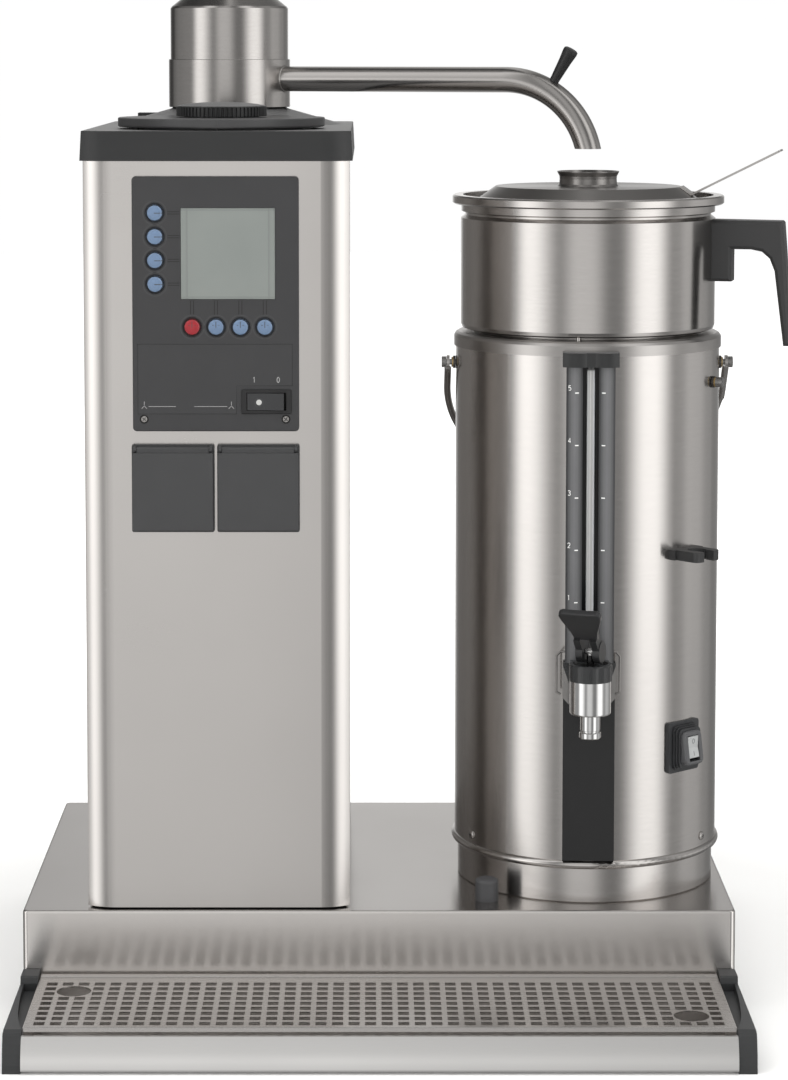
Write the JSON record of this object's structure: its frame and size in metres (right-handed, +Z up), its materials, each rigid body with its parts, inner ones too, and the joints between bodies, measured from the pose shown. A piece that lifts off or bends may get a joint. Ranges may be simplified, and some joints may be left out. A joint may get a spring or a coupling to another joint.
{
  "type": "coffee urn",
  "caption": "Column filter-coffee brewer with a swivel spout over a lift-off heated container urn with tap, level gauge, filter pan and lid, on a platform with a slide-out drip tray.",
  "frame": {"origin": "centre of the whole machine's footprint, on the counter surface", "axes": "+Z up, +Y to the machine's back (the drip tray is at -Y), +X to the right as seen from the front"},
  "size_m": [0.595, 0.49, 0.776],
  "materials": {
    "stainless": "satin brushed",
    "steel_polished": "polished",
    "aluminium": "satin anodised",
    "plastic_dark": "fine textured",
    "plastic_panel": "satin",
    "plastic_black": "satin",
    "plastic_white": "glossy",
    "button_blue": "satin",
    "button_red": "satin",
    "rubber_black": "matt",
    "silicone": "matt",
    "glass_clear": "clear",
    "display": "glossy",
    "brass": "machined",
    "board": "satin",
    "element_steel": "heat tinted"
  },
  "bodies": {
    "base": {"platform_shell": "stainless", "platform_feet": "rubber_black", "locating_stud": "plastic_dark", "column_front": "stainless", "column_shell": "stainless", "column_cap": "plastic_dark", "access_cover": "plastic_dark", "boiler_tank": "stainless", "heating_element": "element_steel", "inlet_valve": "brass", "riser_hose": "silicone", "control_board": "board", "cable_gland": "plastic_black", "control_panel": "plastic_panel", "display_window": "display", "switch_frame": "plastic_black", "panel_screws": "stainless", "socket_left": "plastic_dark", "socket_right": "plastic_dark"},
    "port_cap": {"port_cap": "plastic_dark"},
    "swivel_arm": {"head_collar": "stainless", "head_cap": "stainless", "arm_tube": "steel_polished", "arm_grip": "plastic_black"},
    "panel_rocker": {"switch_rocker": "plastic_black"},
    "flap_left": {"flap_left": "plastic_dark"},
    "flap_right": {"flap_right": "plastic_dark"},
    "drip_tray": {"tray_body": "stainless", "tray_front": "aluminium", "tray_end_caps": "plastic_dark"},
    "grille": {"tray_grille": "stainless"},
    "container": {"container_shell": "stainless", "container_base": "stainless", "inner_tank": "stainless", "container_heater": "aluminium", "gauge_rail": "plastic_dark", "gauge_tube": "glass_clear", "gauge_bracket": "plastic_dark", "tap_body": "steel_polished", "tap_bonnet": "plastic_black", "tap_clip": "steel_polished", "cord_clip": "plastic_black", "urn_switch_boot": "plastic_black", "side_bolts": "stainless"},
    "tap_lever": {"tap_lever": "plastic_black"},
    "tap_stem": {"tap_stem": "steel_polished"},
    "urn_rocker": {"urn_switch_rocker": "plastic_white"},
    "bail": {"bail": "steel_polished"},
    "pan": {"filter_pan": "stainless", "pan_handle": "plastic_black"},
    "lid": {"pan_lid": "stainless", "lid_handle": "stainless"},
    "button_1": {"button_1": "button_blue"},
    "button_2": {"button_2": "button_blue"},
    "button_3": {"button_3": "button_blue"},
    "button_4": {"button_4": "button_blue"},
    "button_5": {"button_5": "button_red"},
    "button_6": {"button_6": "button_blue"},
    "button_7": {"button_7": "button_blue"},
    "button_8": {"button_8": "button_blue"}
  },
  "joints": [
    {"name": "arm_swivel", "type": "hinge", "parent": "base", "child": "swivel_arm", "pos_m": [-0.1478, 0.135, 0.705], "axis": [0, 0, 1], "range_deg": [-90, 90]},
    {"name": "port_cap_turn", "type": "hinge", "parent": "base", "child": "port_cap", "pos_m": [-0.1475, -0.014, 0.685], "axis": [0, 0, 1], "range_deg": [0, 90]},
    {"name": "button_1_press", "type": "slide", "parent": "base", "child": "button_1", "axis": [0, 1, 0], "range_m": [0, 0.0012], "stiffness_N_per_m": 700, "springref_m": -0.0006},
    {"name": "button_2_press", "type": "slide", "parent": "base", "child": "button_2", "axis": [0, 1, 0], "range_m": [0, 0.0012], "stiffness_N_per_m": 700, "springref_m": -0.0006},
    {"name": "button_3_press", "type": "slide", "parent": "base", "child": "button_3", "axis": [0, 1, 0], "range_m": [0, 0.0012], "stiffness_N_per_m": 700, "springref_m": -0.0006},
    {"name": "button_4_press", "type": "slide", "parent": "base", "child": "button_4", "axis": [0, 1, 0], "range_m": [0, 0.0012], "stiffness_N_per_m": 700, "springref_m": -0.0006},
    {"name": "button_5_press", "type": "slide", "parent": "base", "child": "button_5", "axis": [0, 1, 0], "range_m": [0, 0.0012], "stiffness_N_per_m": 700, "springref_m": -0.0006},
    {"name": "button_6_press", "type": "slide", "parent": "base", "child": "button_6", "axis": [0, 1, 0], "range_m": [0, 0.0012], "stiffness_N_per_m": 700, "springref_m": -0.0006},
    {"name": "button_7_press", "type": "slide", "parent": "base", "child": "button_7", "axis": [0, 1, 0], "range_m": [0, 0.0012], "stiffness_N_per_m": 700, "springref_m": -0.0006},
    {"name": "button_8_press", "type": "slide", "parent": "base", "child": "button_8", "axis": [0, 1, 0], "range_m": [0, 0.0012], "stiffness_N_per_m": 700, "springref_m": -0.0006},
    {"name": "panel_rocker_tilt", "type": "hinge", "parent": "base", "child": "panel_rocker", "pos_m": [-0.11065, -0.092, 0.4697], "axis": [0, 0, 1], "range_deg": [0, 8]},
    {"name": "flap_left_hinge", "type": "hinge", "parent": "base", "child": "flap_left", "pos_m": [-0.1811, -0.1016, 0.4342], "axis": [-1, 0, 0], "range_deg": [0, 100], "stiffness_Nm_per_rad": 0.012, "springref_deg": -20.05},
    {"name": "flap_right_hinge", "type": "hinge", "parent": "base", "child": "flap_right", "pos_m": [-0.1169, -0.1016, 0.4342], "axis": [-1, 0, 0], "range_deg": [0, 100], "stiffness_Nm_per_rad": 0.012, "springref_deg": -20.05},
    {"name": "tray_pull", "type": "slide", "parent": "base", "child": "drip_tray", "axis": [0, -1, 0], "range_m": [0, 0.14]},
    {"name": "grille_lift", "type": "slide", "parent": "drip_tray", "child": "grille", "axis": [0, 0, 1], "range_m": [0, 0.025]},
    {"name": "container_lift", "type": "slide", "parent": "base", "child": "container", "axis": [0, 0, 1], "range_m": [0, 0.025]},
    {"name": "tap_lever_pull", "type": "hinge", "parent": "container", "child": "tap_lever", "pos_m": [0.1323, -0.11988, 0.2838], "axis": [0.9245, -0.3811, 0], "range_deg": [0, 32]},
    {"name": "tap_stem_lift", "type": "slide", "parent": "container", "child": "tap_stem", "axis": [0, 0, 1], "range_m": [0, 0.004], "stiffness_N_per_m": 150, "springref_m": -0.004},
    {"name": "urn_rocker_tilt", "type": "hinge", "parent": "container", "child": "urn_rocker", "pos_m": [0.21049, -0.05789, 0.1976], "axis": [0.7373, 0.6756, 0], "range_deg": [0, 10]},
    {"name": "bail_swing", "type": "hinge", "parent": "container", "child": "bail", "pos_m": [0.1382, 0.021, 0.4878], "axis": [1, 0, 0], "range_deg": [0, 88]},
    {"name": "pan_lift", "type": "slide", "parent": "container", "child": "pan", "axis": [0, 0, 1], "range_m": [0, 0.025]},
    {"name": "lid_lift", "type": "slide", "parent": "pan", "child": "lid", "axis": [0, 0, 1], "range_m": [0, 0.025]}
  ],
  "couplings": [
    {"joint": "tap_lever_pull", "follows": "tap_stem_lift", "rad_per_m": 139.6}
  ]
}
